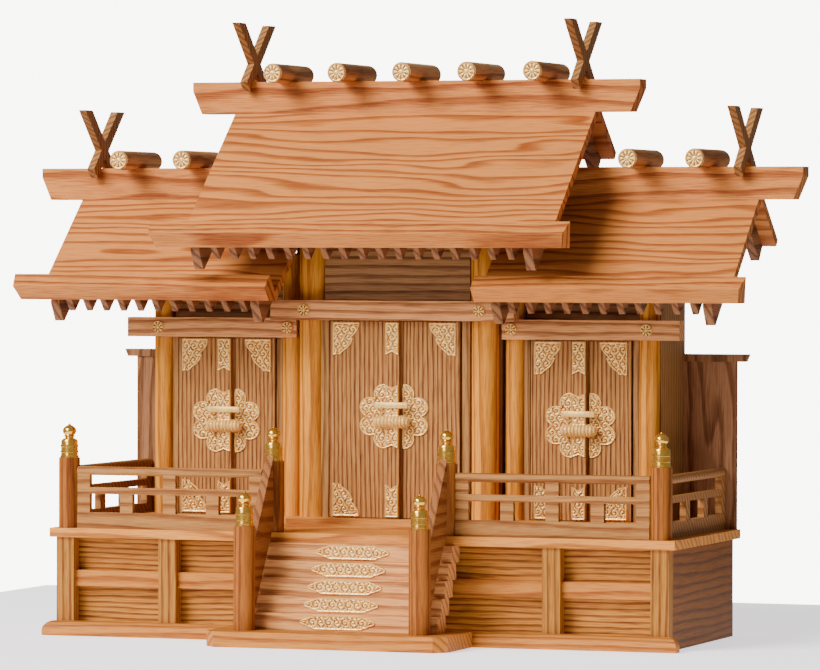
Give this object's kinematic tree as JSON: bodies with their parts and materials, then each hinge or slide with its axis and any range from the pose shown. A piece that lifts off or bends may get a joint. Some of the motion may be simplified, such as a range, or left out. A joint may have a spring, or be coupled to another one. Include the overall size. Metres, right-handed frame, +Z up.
{
  "type": "household shrine with three cells",
  "caption": "Zelkova wood household shrine with paired doors, stepped gable roofs, crossed ridge boards, a railed gallery and stair, and gilt fittings",
  "frame": {"origin": "on the ground, under the middle of the whole width and depth", "axes": "+X to the right as seen from the front, -Y to the front where the doors and the stair are, +Z up"},
  "size_m": [0.5364, 0.2177, 0.4057],
  "materials": {
    "zelkova_roof": "satin",
    "zelkova_body": "satin",
    "zelkova_posts": "satin",
    "zelkova_doors": "satin",
    "gilt_brass": "satin",
    "polished_brass": "polished"
  },
  "bodies": {
    "shrine": {"back_walls": "zelkova_body", "barge_boards": "zelkova_roof", "base_back_panel": "zelkova_body", "base_front_panel": "zelkova_body", "base_mid_rails": "zelkova_body", "base_moulding": "zelkova_body", "base_posts": "zelkova_body", "base_side_panels": "zelkova_body", "beam_rosettes": "gilt_brass", "cell_sills": "zelkova_body", "crossed_boards": "zelkova_roof", "door_jambs": "zelkova_body", "eave_bars": "zelkova_roof", "floor_board": "zelkova_body", "friezes": "zelkova_body", "front_railings": "zelkova_body", "log_caps": "gilt_brass", "pillars": "zelkova_posts", "post_caps": "polished_brass", "rafters": "zelkova_roof", "rail_posts": "zelkova_posts", "ridge_logs": "zelkova_roof", "ridges": "zelkova_roof", "roof_front_boards": "zelkova_roof", "roof_rear_boards": "zelkova_roof", "side_railings": "zelkova_body", "side_walls": "zelkova_body", "stair_plate": "zelkova_body", "stair_rails": "zelkova_body", "stair_steps": "zelkova_body", "step_plaques": "gilt_brass", "tie_beams": "zelkova_posts", "wings": "zelkova_body"},
    "main_door_left": {"main_door_left_leaf": "zelkova_doors", "main_door_left_leaf_fittings": "gilt_brass"},
    "main_door_right": {"main_door_right_leaf": "zelkova_doors", "main_door_right_leaf_fittings": "gilt_brass"},
    "left_door_left": {"left_door_left_leaf": "zelkova_doors", "left_door_left_leaf_fittings": "gilt_brass"},
    "left_door_right": {"left_door_right_leaf": "zelkova_doors", "left_door_right_leaf_fittings": "gilt_brass"},
    "right_door_left": {"right_door_left_leaf": "zelkova_doors", "right_door_left_leaf_fittings": "gilt_brass"},
    "right_door_right": {"right_door_right_leaf": "zelkova_doors", "right_door_right_leaf_fittings": "gilt_brass"}
  },
  "joints": [
    {"name": "main_door_left_hinge", "type": "hinge", "parent": "shrine", "child": "main_door_left", "pos_m": [-0.0435, 0.02825, 0.14], "axis": [0, 0, -1], "range_deg": [0, 100]},
    {"name": "main_door_right_hinge", "type": "hinge", "parent": "shrine", "child": "main_door_right", "pos_m": [0.0435, 0.02825, 0.14], "axis": [0, 0, 1], "range_deg": [0, 100]},
    {"name": "left_door_left_hinge", "type": "hinge", "parent": "shrine", "child": "left_door_left", "pos_m": [-0.1567, 0.04265, 0.14], "axis": [0, 0, -1], "range_deg": [0, 100]},
    {"name": "left_door_right_hinge", "type": "hinge", "parent": "shrine", "child": "left_door_right", "pos_m": [-0.0921, 0.04265, 0.14], "axis": [0, 0, 1], "range_deg": [0, 100]},
    {"name": "right_door_left_hinge", "type": "hinge", "parent": "shrine", "child": "right_door_left", "pos_m": [0.0921, 0.04265, 0.14], "axis": [0, 0, -1], "range_deg": [0, 100]},
    {"name": "right_door_right_hinge", "type": "hinge", "parent": "shrine", "child": "right_door_right", "pos_m": [0.1567, 0.04265, 0.14], "axis": [0, 0, 1], "range_deg": [0, 100]}
  ],
  "couplings": [
    {"joint": "main_door_right_hinge", "follows": "main_door_left_hinge", "ratio": 1},
    {"joint": "left_door_right_hinge", "follows": "left_door_left_hinge", "ratio": 1},
    {"joint": "right_door_right_hinge", "follows": "right_door_left_hinge", "ratio": 1}
  ]
}
